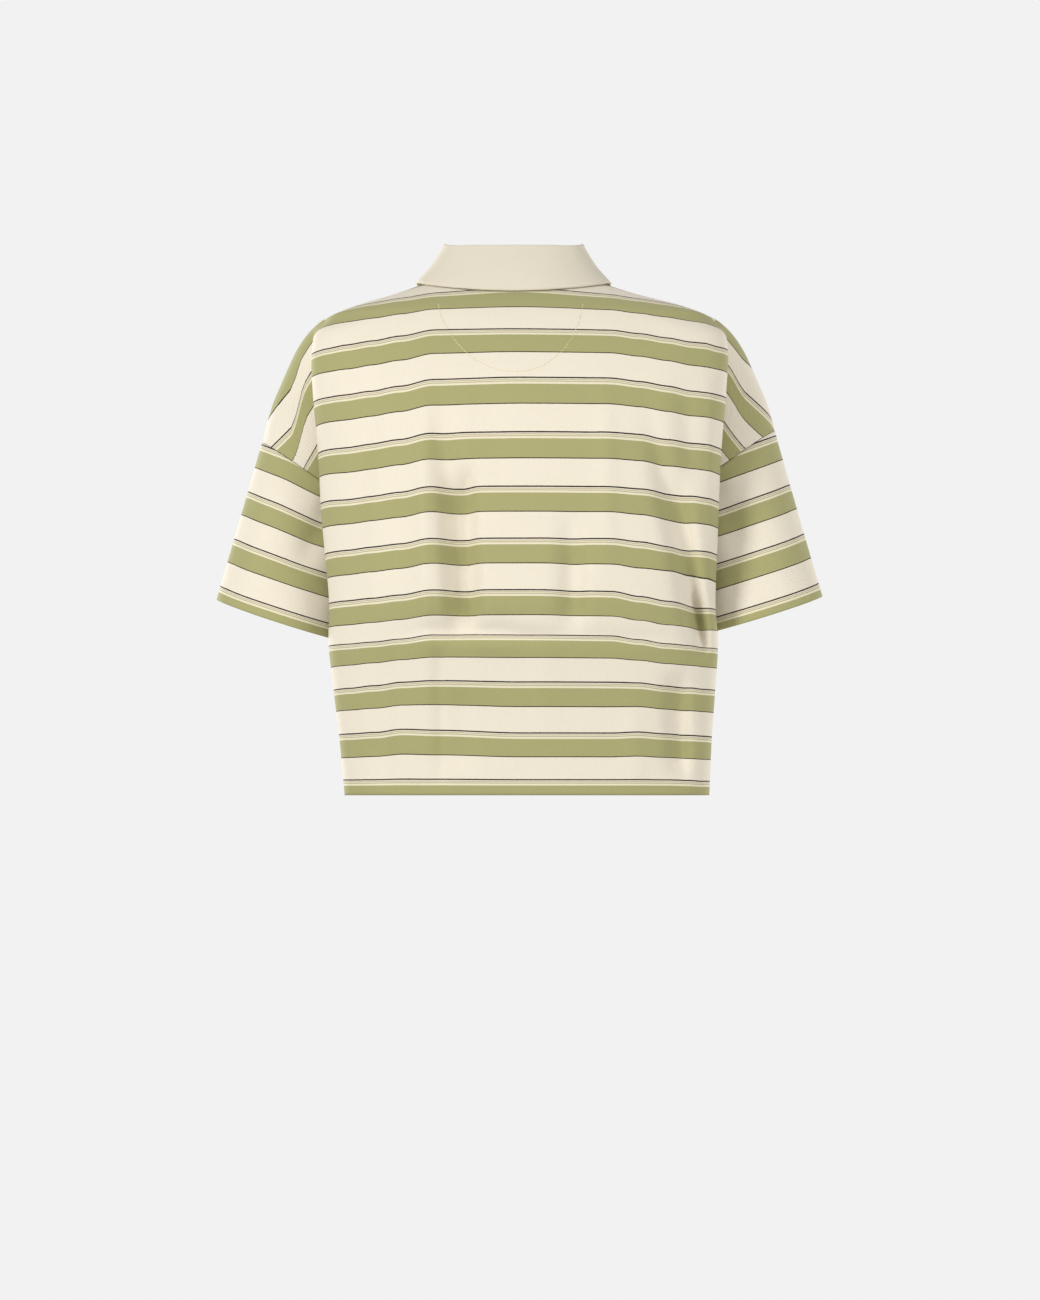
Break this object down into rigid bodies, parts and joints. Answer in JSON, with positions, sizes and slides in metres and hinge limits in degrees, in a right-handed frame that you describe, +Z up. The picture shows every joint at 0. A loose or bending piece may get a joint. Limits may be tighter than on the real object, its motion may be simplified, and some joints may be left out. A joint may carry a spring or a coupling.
{
  "type": "crop top",
  "caption": "Cropped short-sleeved polo top in striped jersey, boxy, with dropped shoulders and a plain folded collar, in its hollow worn form",
  "frame": {"origin": "between the two high shoulder points, at neck height, where the wearer's shoulders carry the top", "axes": "+Z up, front of the top faces -Y, wearer's left is +X"},
  "size_m": [0.5627, 0.2518, 0.5116],
  "materials": {
    "striped_jersey": "matt knitted jersey, average of its cream, sage green, dark grey and tan stripes",
    "collar_cloth": "matt ecru cotton",
    "button": "cream, soft gloss"
  },
  "bodies": {
    "root": {"back": "striped_jersey", "front": "striped_jersey", "sleeve_left": "striped_jersey", "sleeve_right": "striped_jersey", "front_band": "striped_jersey", "neck_patch": "striped_jersey", "collar": "collar_cloth", "button_1": "button", "button_2": "button"}
  },
  "joints": []
}
